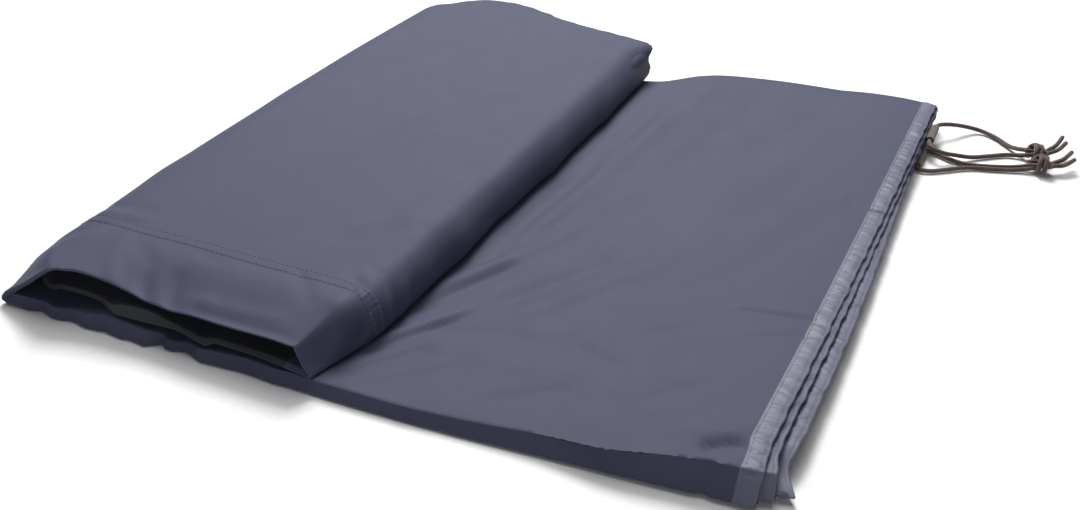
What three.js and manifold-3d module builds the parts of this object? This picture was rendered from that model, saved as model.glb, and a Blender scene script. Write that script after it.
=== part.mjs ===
// Folded tent groundsheet: one hemmed coated sheet, folded lengthwise into six plies, half rolled up flat.
// Millimetres, +Z up. The cloth's front fold runs along X, its three shown hems stand at the +X end.
// The origin is under the middle of the cloth, on the surface that it lies on.

import * as THREE from 'three';
import { mergeVertices } from 'three/addons/utils/BufferGeometryUtils.js';
import Module from 'manifold-3d';

const wasm = await Module();
wasm.setup();

// Driving dimensions. Places are measured from a start point, and MIDDLE is the origin's place from there

const PLY = 1.0;
const PITCH = 1.3;
const PLIES = 6;
const STACK = PITCH * (PLIES - 1) + PLY;
const PASS_GAP = 1.2;
const CLEARANCE = 0.3;

const MIDDLE = { x: 0.6, y: 10.4 };
const HEM_END = 212;
const PAD_HEIGHT = 4 * STACK + 3 * PASS_GAP;
const LEFT_TURN = 24;
const RIGHT_TURN = 17;
const INNER_LEFT_TURN = 9;
const INNER_INSET = { front: 44, back: 16 };
const INNER_END = 40;

const MOUTH = { front: -228, back: -186, dropLeft: 2, dropRight: 5.5 };
const PINCH = { front: -232, back: -150, lean: 34, squat: 0.9 };
const SPREAD = { from: 25, to: 205, front: 11, middle: 6.5, back: 9, nearPad: 5.5, curve: 1.2 };
const BACK_RISE = { from: -8, to: 50 };
const EDGE_ZONE = { from: 40, to: 215 };
const AIR_MIX = { front: -160, back: 120 };
const HEM_MIX = { front: -120, back: 200 };
const HEM_FLARE = { full: -212, none: -190 };
const HEM_REACH = 0.3;

const CORD = 3.0;
const STRAND_STEPS = 14;
const TAIL_STEPS = 3;
const BORE = CORD / 2 + 0.5;
const RIBBON = { width: 22, thick: 0.8, overlap: 8, seat: 0.45, loopAt: 4.2, legEnd: 0.6 };
const KNOT = { width: 12.5, height: 10.8 };
const KNOT_CORE = { length: 13, width: 9, height: 8.4 };
const TABS = { upper: 194, lower: 166.5 };

// Order in which the sheet runs through its plies, each with its place in the stack from the bottom,
// how far its hem stands past the uppermost hem at the front and back corners,
// how much further it flares at the very front, its share of the air that lifts the stack towards the hems,
// and how far its back edge or fold lies inside the stack

const PLY_RUNS = [
  { level: 0, hemFront: -1, hemBack: -1, flare: 0, airFront: 0, airBack: 0, inset: 5 },
  { level: 5, hemFront: -2.2, hemBack: -2, flare: 2.2, airFront: 1, airBack: 1, inset: 0 },
  { level: 4, hemFront: 1.5, hemBack: -0.5, flare: 4, airFront: 0.86, airBack: 0.82, inset: 0 },
  { level: 1, hemFront: 1, hemBack: -4, flare: 5, airFront: 0, airBack: 0.3, inset: 3 },
  { level: 2, hemFront: 3, hemBack: -4, flare: 12, airFront: 0, airBack: 0.42, inset: 3 },
  { level: 3, hemFront: 8.5, hemBack: -0.2, flare: 6, airFront: 0.68, airBack: 0.66, inset: 2 },
];

// Where the cloth ends at the front and back along the roll, how far its outer front fold bulges
// and how far each fold inside it stands back. The whole part of turn is the stretch:
// 0 bottom, 1 left turn, 2 top, 3 right turn, 4 inner lower, 5 inner left turn, 6 inner upper

const EDGES = [
  { turn: 0.00, front: -220.5, back: 231.0, bulge: 26, nest: 6.0 },
  { turn: 0.07, front: -222.5, back: 236.0, bulge: 24, nest: 5.0 },
  { turn: 0.14, front: -224.5, back: 238.0, bulge: 20, nest: 4.0 },
  { turn: 0.26, front: -227.0, back: 237.0, bulge: 14, nest: 2.4 },
  { turn: 0.37, front: -229.5, back: 231.5, bulge: 9, nest: 1.6 },
  { turn: 0.44, front: -230.3, back: 222.0, bulge: 6, nest: 1.3 },
  { turn: 0.51, front: -230.5, back: 207.0, bulge: 6, nest: 1.3 },
  { turn: 0.62, front: -230.5, back: 203.0, bulge: 6, nest: 1.3 },
  { turn: 1.00, front: -230.5, back: 216.0, bulge: 6, nest: 1.3 },
  { turn: 1.50, front: -230.0, back: 219.0, bulge: 6, nest: 1.3 },
  { turn: 2.00, front: -226.0, back: 232.0, bulge: 6, nest: 1.3 },
  { turn: 2.08, front: -223.0, back: 247.0, bulge: 6, nest: 1.3 },
  { turn: 2.20, front: -222.0, back: 256.0, bulge: 6, nest: 1.3 },
  { turn: 2.32, front: -223.0, back: 254.0, bulge: 6, nest: 1.3 },
  { turn: 2.50, front: -225.0, back: 243.0, bulge: 6, nest: 1.3 },
  { turn: 3.00, front: -227.0, back: 225.0, bulge: 6, nest: 1.3 },
  { turn: 4.00, front: -229.0, back: 211.0, bulge: 6, nest: 1.3 },
  { turn: 4.50, front: -222.0, back: 208.0, bulge: 6, nest: 1.3 },
  { turn: 5.00, front: -188.0, back: 208.0, bulge: 6, nest: 1.3 },
  { turn: 7.00, front: -186.0, back: 216.0, bulge: 6, nest: 1.3 },
];

// The roll's left and right sides, seen from above, for lines across it from front to back

const PAD_SIDES = [
  { y: -229, left: -231, right: -13 },
  { y: -190, left: -226, right: -6 },
  { y: -120, left: -220, right: -5 },
  { y: 0, left: -218, right: -3 },
  { y: 90, left: -217, right: -1 },
  { y: 235, left: -210, right: 0 },
];

// Steps along each stretch, the hem end first

const STRETCHES = [
  { turn: 0, at: [0.0, 0.05, 0.12, 0.2, 0.3, 0.4, 0.48, 0.56, 0.7, 0.85] },
  { turn: 1, at: [0.0, 0.17, 0.34, 0.5, 0.67, 0.84] },
  { turn: 2, at: [0.0, 0.14, 0.35, 0.6, 0.82] },
  { turn: 3, at: [0.0, 0.18, 0.36, 0.54, 0.72, 0.88] },
  { turn: 4, at: [0.0, 0.3, 0.65] },
  { turn: 5, at: [0.0, 0.17, 0.34, 0.5, 0.67, 0.84] },
  { turn: 6, at: [0.0, 0.5, 1.0] },
];

const ALONG_PLY = [0, 0.03, 0.08, 0.2, 0.42, 0.66, 0.88, 1];

// Shape of a front fold from its lower ply to its upper one: it turns up sharply and leans back

const FRONT_FOLD = [
  { rise: 0.03, out: 0.84 },
  { rise: 0.16, out: 1.0 },
  { rise: 0.55, out: 0.95 },
  { rise: 0.86, out: 0.6 },
];

const BACK_FOLD = [
  { rise: 0.25, out: 0.87 },
  { rise: 0.75, out: 0.87 },
];

// Routes of the cord's strands from inside the tab to the knot, and of its tails

const ROUTES = {
  cord_upper_far: [
    [216, 194.2, 10.3], [216, 206, 10.4], [218.4, 212.6, 10.2], [225, 219.4, 8.6], [233.4, 227.5, 5.2],
    [243, 231.3, 2.4], [254, 226, 1.9], [264, 216.4, 2.2], [271, 210.6, 3.8], [277.4, 206.9, 6.1],
  ],
  cord_upper_near: [
    [216, 193.8, 10.3], [216, 182, 10.2], [218.2, 174.6, 9.6], [225, 172.6, 7.8], [234, 178.6, 4.8],
    [244, 185.4, 2.3], [254, 193, 1.8], [264, 200.6, 1.8], [271, 203.9, 1.9], [279.1, 205.1, 2.7],
  ],
  cord_lower_far: [
    [215.2, 166.7, 2.8], [215.2, 178.3, 2.8], [217.4, 181.8, 2.3], [222.4, 181.2, 2], [229, 177.4, 1.9],
    [237, 174.8, 1.8], [246, 174.4, 1.8], [257, 177.2, 1.8], [268, 181, 1.9], [275, 183.8, 2.4],
    [282.6, 186, 3.8],
  ],
  cord_lower_near: [
    [215.2, 166.3, 2.8], [215.2, 154.8, 2.8], [217.4, 152, 2.2], [223.4, 154, 1.8], [231, 159.6, 1.8],
    [239, 166, 1.8], [247, 170.4, 1.8], [258, 173.4, 1.8], [269.5, 177.2, 1.9], [276.5, 179.8, 2.4],
    [284, 182, 3.8],
  ],
};

const KNOTS = {
  knot_upper: { at: [285.4, 204.6, 5.9], turn: 10 },
  knot_lower: { at: [289.2, 185.6, 5.9], turn: 0 },
};

const TAILS = {
  tail_upper_far: [[291.6, 210.2, 7], [295.6, 215.8, 9], [297.6, 222.8, 12.2]],
  tail_upper_near: [[292.4, 206.2, 6.9], [297.6, 210.8, 8.2], [300.8, 217.4, 10.8]],
  tail_lower_far: [[296.3, 189.9, 6.9], [301.4, 195, 8.2], [305.8, 204.6, 10.4]],
  tail_lower_near: [[296.4, 185.4, 6.6], [303, 189, 7], [308.6, 197.2, 8.6]],
};

// Materials

function cloth() {
  return new THREE.MeshStandardMaterial({ color: 0x5c5d73, roughness: 0.55, metalness: 0 });
}

function ribbon() {
  return new THREE.MeshStandardMaterial({ color: 0x8a7560, roughness: 0.8, metalness: 0 });
}

function elastic() {
  return new THREE.MeshStandardMaterial({ color: 0x4a3731, roughness: 0.75, metalness: 0 });
}

// Small helpers

const mix = THREE.MathUtils.lerp;
const ease = (value, from, to) => THREE.MathUtils.smoothstep(value, from, to);

function tableValue(table, key, at, column) {
  let row = 0;
  while (row < table.length - 2 && table[row + 1][key] < at) row += 1;
  const low = table[row];
  const high = table[row + 1];
  const part = THREE.MathUtils.clamp((at - low[key]) / (high[key] - low[key]), 0, 1);
  return mix(low[column], high[column], part);
}

function solid(positions, faces) {
  const geometry = new THREE.BufferGeometry();
  geometry.setAttribute('position', new THREE.Float32BufferAttribute(positions.flat(), 3));
  geometry.setIndex(faces.flat());
  return geometry;
}

// The outer face of the roll, as x and z at one place along the sheet, for a line at y across it

function rollFace(turn, y) {
  const mouth = 1 - ease(y, MOUTH.front, MOUTH.back);
  const pinch = 1 - ease(y, PINCH.front, PINCH.back);
  const topLeft = PAD_HEIGHT - MOUTH.dropLeft * mouth;
  const topRight = PAD_HEIGHT - MOUTH.dropRight * mouth;
  const lower = STACK + PASS_GAP;
  const upper = topRight - STACK - PASS_GAP;
  const lean = PINCH.lean * pinch;
  const leftEnd = tableValue(PAD_SIDES, 'y', y, 'left') + LEFT_TURN;
  const rightStart = tableValue(PAD_SIDES, 'y', y, 'right') - RIGHT_TURN;
  const inset = mix(INNER_INSET.back, INNER_INSET.front, pinch);
  const innerLeft = leftEnd - LEFT_TURN + inset + INNER_LEFT_TURN;
  const stretch = Math.min(Math.floor(turn), 6);
  const part = turn - stretch;
  const swing = (part - 0.5) * Math.PI;

  if (stretch === 0) return [mix(HEM_END, leftEnd, part), 0];
  if (stretch === 1) {
    const height = Math.pow(0.5 + 0.5 * Math.sin(swing), 1 + PINCH.squat * pinch);
    return [leftEnd - LEFT_TURN * Math.cos(swing) + lean * height, topLeft * height];
  }
  if (stretch === 2) {
    return [mix(leftEnd + lean, rightStart, part), mix(topLeft, topRight, ease(part, 0, 0.8))];
  }
  if (stretch === 3) {
    const fall = 0.5 + 0.5 * Math.sin(swing);
    return [rightStart + RIGHT_TURN * Math.cos(swing), mix(topRight, lower, fall)];
  }
  if (stretch === 4) return [mix(rightStart, innerLeft, part), lower];
  if (stretch === 5) {
    const climb = 0.5 + 0.5 * Math.sin(swing);
    return [innerLeft - INNER_LEFT_TURN * Math.cos(swing), mix(lower, upper, climb)];
  }
  return [mix(innerLeft, rightStart + RIGHT_TURN - INNER_END, part), upper];
}

// How much air stands in the stack at one place on the bottom stretch

function spreadAt(x, y) {
  const toFront = ease(-y, EDGE_ZONE.from, EDGE_ZONE.to);
  const toBack = ease(y, EDGE_ZONE.from, EDGE_ZONE.to);
  const atHem = mix(mix(SPREAD.middle, SPREAD.front, toFront), SPREAD.back, toBack);
  const rise = Math.pow(ease(x, SPREAD.from, SPREAD.to), SPREAD.curve);
  const backFold = SPREAD.nearPad * toBack * ease(x, BACK_RISE.from, BACK_RISE.to);
  return Math.max(atHem * rise, backFold);
}

function plyHeight(run, x, y) {
  const air = mix(run.airFront, run.airBack, ease(y, AIR_MIX.front, AIR_MIX.back));
  return PLY / 2 + PITCH * run.level + air * spreadAt(x, y);
}

function hemPast(run, y) {
  const flare = run.flare * (1 - ease(y, HEM_FLARE.full, HEM_FLARE.none));
  return mix(run.hemFront, run.hemBack, ease(y, HEM_MIX.front, HEM_MIX.back)) + flare;
}

// The sheet's middle line across the strip, from one free edge to the other, as y and ply heights

function sectionLine(turn, faceX) {
  const bulge = tableValue(EDGES, 'turn', turn, 'bulge');
  const nest = tableValue(EDGES, 'turn', turn, 'nest');
  const front = tableValue(EDGES, 'turn', turn, 'front') + bulge;
  const back = tableValue(EDGES, 'turn', turn, 'back') - PITCH;
  const inRoll = turn >= 1;
  const line = [];
  const heightOf = (run, y) => (inRoll ? PLY / 2 + PITCH * run.level : plyHeight(run, faceX(y), y));

  PLY_RUNS.forEach((run, index) => {
    const backward = index % 2 === 1;
    const steps = backward ? ALONG_PLY : [...ALONG_PLY].reverse();
    for (const share of steps) {
      const y = mix(front, back - run.inset, share);
      line.push({ y, height: heightOf(run, y), run });
    }
    const next = PLY_RUNS[index + 1];
    if (!next) return;
    const y = backward ? back - run.inset : front;
    const from = heightOf(run, y);
    const to = heightOf(next, backward ? back - next.inset : front);
    const reach = backward ? PITCH / 2 : nest * (index / 2) - bulge;
    const climbs = next.level > run.level;
    const fold = backward ? BACK_FOLD : FRONT_FOLD;
    for (const step of climbs ? fold : [...fold].reverse()) {
      const part = climbs ? step.rise : 1 - step.rise;
      line.push({ y: y + reach * step.out, height: mix(from, to, part), run, next, part });
    }
  });
  return line;
}

// Both faces of the sheet beside its middle line

function sectionFaces(line) {
  return line.map((point, index) => {
    const before = line[Math.max(index - 1, 0)];
    const after = line[Math.min(index + 1, line.length - 1)];
    const tangent = new THREE.Vector2(after.y - before.y, after.height - before.height).normalize();
    const offset = PLY / 2;
    return {
      ...point,
      left: [point.y - tangent.y * offset, point.height + tangent.x * offset],
      right: [point.y + tangent.y * offset, point.height - tangent.x * offset],
    };
  });
}

// The whole cloth: the section carried along the roll

function makeCloth() {
  const turns = STRETCHES.flatMap((stretch) => stretch.at.map((part) => stretch.turn + part));
  const positions = [];
  const faces = [];

  const place = (index, y, height, past) => {
    const [x, z] = rollFace(turns[index], y);
    const [xBefore, zBefore] = rollFace(turns[Math.max(index - 1, 0)], y);
    const [xAfter, zAfter] = rollFace(turns[Math.min(index + 1, turns.length - 1)], y);
    const along = new THREE.Vector2(xAfter - xBefore, zAfter - zBefore).normalize();
    return [x + along.y * height + past, y, z - along.x * height];
  };

  turns.forEach((turn, index) => {
    const faceX = (y) => rollFace(turn, y)[0];
    const section = sectionFaces(sectionLine(turn, faceX));
    const hemShare = 1 - ease(turn, 0, HEM_REACH);
    for (const side of ['left', 'right']) {
      for (const point of section) {
        const [y, height] = point[side];
        const own = hemPast(point.run, y);
        const past = point.next ? mix(own, hemPast(point.next, y), point.part) : own;
        positions.push(place(index, y, height, past * hemShare));
      }
    }
  });

  const across = positions.length / turns.length / 2;
  const left = (index, point) => index * across * 2 + point;
  const right = (index, point) => left(index, point) + across;
  const quad = (a, b, c, d) => faces.push([a, b, c], [a, c, d]);
  const end = across - 1;
  for (let index = 0; index < turns.length - 1; index += 1) {
    const next = index + 1;
    for (let point = 0; point < end; point += 1) {
      quad(left(index, point), left(index, point + 1), left(next, point + 1), left(next, point));
      quad(right(index, point + 1), right(index, point), right(next, point), right(next, point + 1));
    }
    quad(right(index, 0), left(index, 0), left(next, 0), right(next, 0));
    quad(left(index, end), right(index, end), right(next, end), left(next, end));
  }
  const last = turns.length - 1;
  for (let point = 0; point < end; point += 1) {
    quad(left(0, point + 1), left(0, point), right(0, point), right(0, point + 1));
    quad(left(last, point), left(last, point + 1), right(last, point + 1), right(last, point));
  }
  return solid(positions, faces);
}

// A ribbon tab: one loop of ribbon round the cord, its two legs on the sheet's edge

function makeTab(middle, legs) {
  const radius = BORE + RIBBON.thick / 2;
  const half = RIBBON.thick / 2;
  const positions = [];
  const faces = [];
  const stations = [-0.5, -0.25, 0, 0.25, 0.5];
  const loopAngles = [112, 75, 38, 0, -38, -75, -100];
  const legPlaces = [RIBBON.overlap, RIBBON.overlap / 2, -RIBBON.legEnd];

  for (const station of stations) {
    const y = middle + station * RIBBON.width;
    const { edge, centre, upperLeg, lowerLeg } = legs(y);
    const line = legPlaces.map((back) => [edge - back, upperLeg(edge - back, y)]);
    for (const angle of loopAngles) {
      const around = THREE.MathUtils.degToRad(angle);
      line.push([edge + RIBBON.loopAt + radius * Math.cos(around), centre + radius * Math.sin(around)]);
    }
    line.push(...[...legPlaces].reverse().map((back) => [edge - back, lowerLeg(edge - back, y)]));
    const outer = [];
    const inner = [];
    line.forEach((point, index) => {
      const before = line[Math.max(index - 1, 0)];
      const after = line[Math.min(index + 1, line.length - 1)];
      const tangent = new THREE.Vector2(after[0] - before[0], after[1] - before[1]).normalize();
      outer.push([point[0] - tangent.y * half, y, point[1] + tangent.x * half]);
      inner.push([point[0] + tangent.y * half, y, point[1] - tangent.x * half]);
    });
    positions.push(...outer, ...inner.reverse());
  }

  const count = positions.length / stations.length;
  const quad = (a, b, c, d) => faces.push([a, b, c], [a, c, d]);
  for (let step = 0; step < stations.length - 1; step += 1) {
    for (let point = 0; point < count; point += 1) {
      const next = (point + 1) % count;
      const low = step * count;
      const high = low + count;
      quad(low + point, low + next, high + next, high + point);
    }
  }
  const end = (stations.length - 1) * count;
  for (let point = 0; point < count / 2 - 1; point += 1) {
    const opposite = count - 1 - point;
    quad(point + 1, point, opposite, opposite - 1);
    quad(end + point, end + point + 1, end + opposite - 1, end + opposite);
  }
  return solid(positions, faces);
}

function upperTabLegs() {
  const run = PLY_RUNS[5];
  const gap = PLY / 2 + RIBBON.seat + RIBBON.thick / 2;
  return (y) => {
    const edge = HEM_END + hemPast(run, y);
    return {
      edge,
      centre: plyHeight(run, HEM_END, y),
      upperLeg: (x) => plyHeight(run, x, y) + gap,
      lowerLeg: (x) => plyHeight(run, x, y) - gap,
    };
  };
}

function lowerTabLegs() {
  const run = PLY_RUNS[0];
  const lowest = PLY + CLEARANCE + RIBBON.thick / 2;
  return (y) => {
    const edge = HEM_END + hemPast(run, y);
    return {
      edge,
      centre: BORE + RIBBON.thick,
      upperLeg: () => lowest + RIBBON.thick + CLEARANCE,
      lowerLeg: () => lowest,
    };
  };
}

// A cord strand: a tube of eight sides along its route

function makeStrand(points, steps) {
  const places = points.map((point) => new THREE.Vector3(...point));
  const route = new THREE.CatmullRomCurve3(places, false, 'centripetal');
  const section = new THREE.Shape();
  for (let side = 0; side < 8; side += 1) {
    const angle = (side + 0.5) * Math.PI / 4;
    const corner = [Math.cos(angle) * CORD / 2, Math.sin(angle) * CORD / 2];
    if (side === 0) section.moveTo(...corner);
    else section.lineTo(...corner);
  }
  return new THREE.ExtrudeGeometry(section, { steps, extrudePath: route, bevelEnabled: false });
}

// A knot: the cord's turns round the strands, fused into one lump

function asManifold(geometry) {
  const bare = geometry.clone();
  bare.deleteAttribute('normal');
  bare.deleteAttribute('uv');
  const merged = mergeVertices(bare, 1e-4);
  const mesh = new wasm.Mesh({
    numProp: 3,
    vertProperties: new Float32Array(merged.attributes.position.array),
    triVerts: new Uint32Array(merged.index.array),
  });
  return new wasm.Manifold(mesh);
}

function fromManifold(body) {
  const mesh = body.getMesh();
  const geometry = new THREE.BufferGeometry();
  geometry.setAttribute('position', new THREE.BufferAttribute(new Float32Array(mesh.vertProperties), 3));
  geometry.setIndex(new THREE.BufferAttribute(new Uint32Array(mesh.triVerts), 1));
  return geometry;
}

function makeKnot() {
  const core = new THREE.SphereGeometry(0.5, 12, 8);
  core.scale(KNOT_CORE.length, KNOT_CORE.width, KNOT_CORE.height);
  const wraps = [
    { at: -3.3, lean: 18 },
    { at: 0.1, lean: 8 },
    { at: 3.5, lean: -14 },
  ];
  let body = asManifold(core);
  for (const wrap of wraps) {
    const ring = new THREE.TorusGeometry(0.5, 0.15, 8, 14);
    ring.scale(KNOT.width - CORD, KNOT.height - CORD, CORD / 0.3);
    ring.rotateX(Math.PI / 2);
    ring.rotateZ(Math.PI / 2 + THREE.MathUtils.degToRad(wrap.lean));
    ring.translate(wrap.at, 0, 0);
    body = body.add(asManifold(ring));
  }
  return fromManifold(body);
}

// Assembly

const groundsheet = new THREE.Group();

function addPiece(name, geometry, material) {
  const mesh = new THREE.Mesh(geometry, material);
  mesh.name = name;
  groundsheet.add(mesh);
  return mesh;
}

addPiece('groundsheet_cloth', makeCloth(), cloth());
addPiece('tab_upper', makeTab(TABS.upper, upperTabLegs()), ribbon());
addPiece('tab_lower', makeTab(TABS.lower, lowerTabLegs()), ribbon());

for (const [name, points] of Object.entries(ROUTES)) {
  addPiece(name, makeStrand(points, STRAND_STEPS), elastic());
}
for (const [name, points] of Object.entries(TAILS)) {
  addPiece(name, makeStrand(points, TAIL_STEPS), elastic());
}

for (const [name, knot] of Object.entries(KNOTS)) {
  const mesh = addPiece(name, makeKnot(), elastic());
  mesh.position.set(...knot.at);
  mesh.rotation.z = THREE.MathUtils.degToRad(knot.turn);
}

groundsheet.position.set(-MIDDLE.x, -MIDDLE.y, 0);

export default groundsheet;
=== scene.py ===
"""Looks of the folded tent groundsheet. Metres, +Z up, in the frame of the solids."""

import math

import bpy
import numpy as np
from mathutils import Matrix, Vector


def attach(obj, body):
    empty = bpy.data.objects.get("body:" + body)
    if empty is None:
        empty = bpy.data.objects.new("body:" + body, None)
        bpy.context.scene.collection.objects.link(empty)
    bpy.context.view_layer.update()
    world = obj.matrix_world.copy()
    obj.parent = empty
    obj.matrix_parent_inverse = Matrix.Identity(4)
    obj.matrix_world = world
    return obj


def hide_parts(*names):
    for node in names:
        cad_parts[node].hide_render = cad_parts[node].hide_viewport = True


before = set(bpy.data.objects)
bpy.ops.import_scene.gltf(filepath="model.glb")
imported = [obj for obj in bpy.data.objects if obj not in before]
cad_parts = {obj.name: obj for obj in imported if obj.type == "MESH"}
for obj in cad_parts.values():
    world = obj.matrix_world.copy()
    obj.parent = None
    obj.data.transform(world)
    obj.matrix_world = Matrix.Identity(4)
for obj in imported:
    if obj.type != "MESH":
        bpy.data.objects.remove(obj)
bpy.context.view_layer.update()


def table(columns, *rows):
    """Rows as records with named columns. Columns after the bar are lengths in millimetres."""
    plain, _, lengths = columns.partition("|")
    names, bare = (plain + lengths).split(), len(plain.split())
    return [dict(zip(names, row[:bare] + tuple(value / 1000 for value in row[bare:]))) for row in rows]


# Camera, at the photograph's angle

CAMERA_PLACE = (0.3089, -0.6767, 0.4000)
CAMERA_TILT = 59.3
CAMERA_TURN = 24.7
CAMERA_LENS = 43.33

# Places below are measured from a start point, and MIDDLE is the origin's place from there

MIDDLE = np.array((0.0006, 0.0104, 0.0))

# Cord

CORD = 0.003
CORD_SIDES = 12
CORD_POINTS = 34
TAIL_POINTS = 24

# Places along each cord, in millimetres

ROUTES = {
    "cord_upper_far": [
        (214.6, 194.2, 10.3), (214.6, 206, 10.4), (217.4, 212.6, 10.2), (224.6, 219.4, 8.6),
        (233.4, 227.5, 5.2), (243, 231.3, 2.4), (254, 225.4, 1.9), (263.8, 215, 2.2),
        (270.2, 208.4, 4), (275.6, 203.6, 6.4)],
    "cord_upper_near": [
        (214.6, 193.8, 10.3), (214.6, 182, 10.2), (217.2, 174.6, 9.6), (224.7, 172.6, 7.8),
        (234, 178.6, 4.8), (244, 185.4, 2.3), (254, 193, 1.8), (263.6, 199.6, 1.8),
        (269.8, 201.3, 2.1), (277.4, 201.5, 3.4)],
    "cord_lower_far": [
        (212.2, 166.7, 2.8), (212.2, 178.3, 2.8), (215, 182, 2.3), (221, 181.4, 2),
        (228.5, 177.6, 1.9), (237, 174.8, 1.8), (246, 174.4, 1.8), (257, 177.2, 1.8),
        (268, 181, 1.9), (275, 183.8, 2.4), (282.6, 186, 3.8)],
    "cord_lower_near": [
        (212.2, 166.3, 2.8), (212.2, 154.8, 2.8), (215.2, 151.8, 2.2), (222.1, 153.6, 1.8),
        (230.5, 159.4, 1.8), (239, 166, 1.8), (247, 170.4, 1.8), (258, 173.4, 1.8),
        (269.5, 177.2, 1.9), (276.5, 179.8, 2.4), (284, 182, 3.8)],
}

TAILS = {
    "tail_upper_far": [(290.2, 207, 7.4), (294.7, 213.6, 9.2), (297.6, 222.8, 12.2)],
    "tail_upper_near": [(291.2, 202.8, 7.2), (296.8, 208.8, 8.4), (300.8, 217.4, 10.8)],
    "tail_lower_far": [(296.3, 189.9, 6.9), (301.4, 195, 8.2), (305.8, 204.6, 10.4)],
    "tail_lower_near": [(296.4, 185.4, 6.6), (303, 189, 7), (308.6, 197.2, 8.6)],
}

KNOTS = {
    "knot_upper": {"at": (0.2840, 0.2012, 0.0066), "turn": 10},
    "knot_lower": {"at": (0.2892, 0.1852, 0.0066), "turn": 0},
}

# A knot: the turns that wind round it, then the strands that cross over and run through it, all
# from its middle, with the points that each gets. The crossings are in millimetres

WINDING = {"from": -0.5, "to": 3.9, "steps": 64, "start": -0.0043, "end": 0.0042, "half_width": 0.0056,
           "half_height": 0.0047, "lean": 0.0011, "narrower": 0.35, "points": 90}
KNOT_CORD = CORD * 0.98
CROSSINGS = [
    {"points": 26, "places": [
        (-6, 1.4, 0.4), (-4.4, 4, 2.6), (-1.4, 2.6, 4.9), (1.6, -1.4, 5), (4.2, -4.2, 2.8),
        (5.8, -2.6, 0.2)]},
    {"points": 16, "places": [
        (-7.8, -1.4, -1.4), (-3.4, -1.8, -0.8), (2.4, 1.8, 0.6), (7.2, 1.8, 0.4)]},
    {"points": 16, "places": [
        (-7.8, 1.6, -0.2), (-3.4, 1.4, 0.6), (2.4, -1.6, -0.6), (7.4, -1.6, 0.2)]},
]

# The folded sheet's driving sizes, as in the solids

PLY = 0.0010
PITCH = 0.0013
STACK = 5 * PITCH + PLY
PASS_GAP = 0.0012
CLOTH = 0.00045
PLY_STEP = (STACK - CLOTH) / 5

HEM_END = 0.212
PAD_HEIGHT = 4 * STACK + 3 * PASS_GAP
LEFT_TURN = 0.024
RIGHT_TURN = 0.017
INNER_LEFT_TURN = 0.009
INNER_INSET = {"front": 0.024, "back": 0.016}
INNER_END = 0.040

MOUTH_TURNS = (4.02, 6.5)
LEAN = 0.027
LIP = {"thin": 0.42, "flap": 0.20}
SPREAD = {"front": 0.011, "middle": 0.0065, "back": 0.009, "near_pad": 0.0055, "curve": 1.45}
HEM_REACH = 0.3
INNER_SINK = 0.34
ROLL_SLACK = 0.0006
TOP = {"left": -0.196, "left_round": 0.050, "right": -0.022, "right_round": 0.045}
TURN_STEP = 0.004
LAST_TURN = 6.999

# Zones over which one thing passes into another: across the strip (y), along it (x), and in turns

ZONES = {
    "mouth": (-0.228, -0.186), "facet": (-0.226, -0.165), "lip": (-0.228, -0.196),
    "flap": (-0.224, -0.192), "wall": (-0.226, -0.200), "wall_lift": (-0.226, -0.170),
    "roll_front": (-0.200, -0.180), "roll_back": (0.190, 0.208), "lip_relief": (-0.205, -0.185),
    "boxy": (0.196, 0.216), "strip_front": (-0.215, -0.200), "strip_back": (0.190, 0.205),
    "edges": (0.040, 0.215), "air": (-0.160, 0.120), "hem": (-0.120, 0.200), "flare": (-0.212, -0.190),
    "spread": (0.025, 0.205), "by_hem": (0.185, 0.205), "at_hem": (0.190, 0.205),
    "under_roll": (-0.025, -0.010), "strip_begins": (-0.020, -0.004), "back_rise": (-0.008, 0.050),
    "crest": (0.006, 0.020), "turn_lip": (1.0, 1.5), "turn_top": (1.7, 2.1), "turn_peek": (2.20, 2.26),
    "turn_peek_end": (2.50, 2.60), "turn_ragged": (2.7, 3.2), "turn_foot": (3.55, 3.85),
    "turn_top_end": (3.85, 4.0), "turn_mouth": (3.9, 4.1), "turn_inner": (3.95, 4.10),
}
FOOT_THIN = 0.45
DEEPEST = -0.0032

# Plies that end in the same back fold share a number, and so does each that ends on its own

BACK_FOLDS = [0, 2, 2, 1, 1, 3]
RAGGED = [0.0026, -0.0022, 0.0014, 0.0004]
PEEK_OUT = -0.0060

# Order in which the sheet runs through its plies. Level counts from the bottom of the stack, fold is
# the number of the front fold that it ends in, counted from the outermost, and crest its share of that
# fold's crest. Air is its share of the air in the stack, hem how far its hem stands past the uppermost
# one, flare how much more at the very front, and inset how far its back edge lies inside the stack

PLY_RUNS = table(
    "level fold crest air_front air_back steps | hem_front hem_back flare inset",
    (0, None, 0, 0, 0, 68, -1, -1, 0, 2.5), (5, 0, 1, 1, 1, 94, -2.2, -2, 2.2, 0),
    (4, 1, 1, 0.86, 0.82, 7, 1.5, -0.5, 4, 0), (1, None, 0, 0, 0.3, 11, 1, -4, 5, 3),
    (2, None, 0, 0, 0.42, 7, 3, -4, 12, 1.5), (3, 2, -1.3, 0.68, 0.66, 7, 8.5, -0.2, 6, 1))

# Where the cloth ends at the front and back along the roll, how far its outer front fold bulges
# and how far each fold inside it stands back. The whole part of turn is the stretch:
# 0 bottom, 1 left turn, 2 top, 3 right turn, 4 inner lower, 5 inner left turn, 6 inner upper

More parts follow.
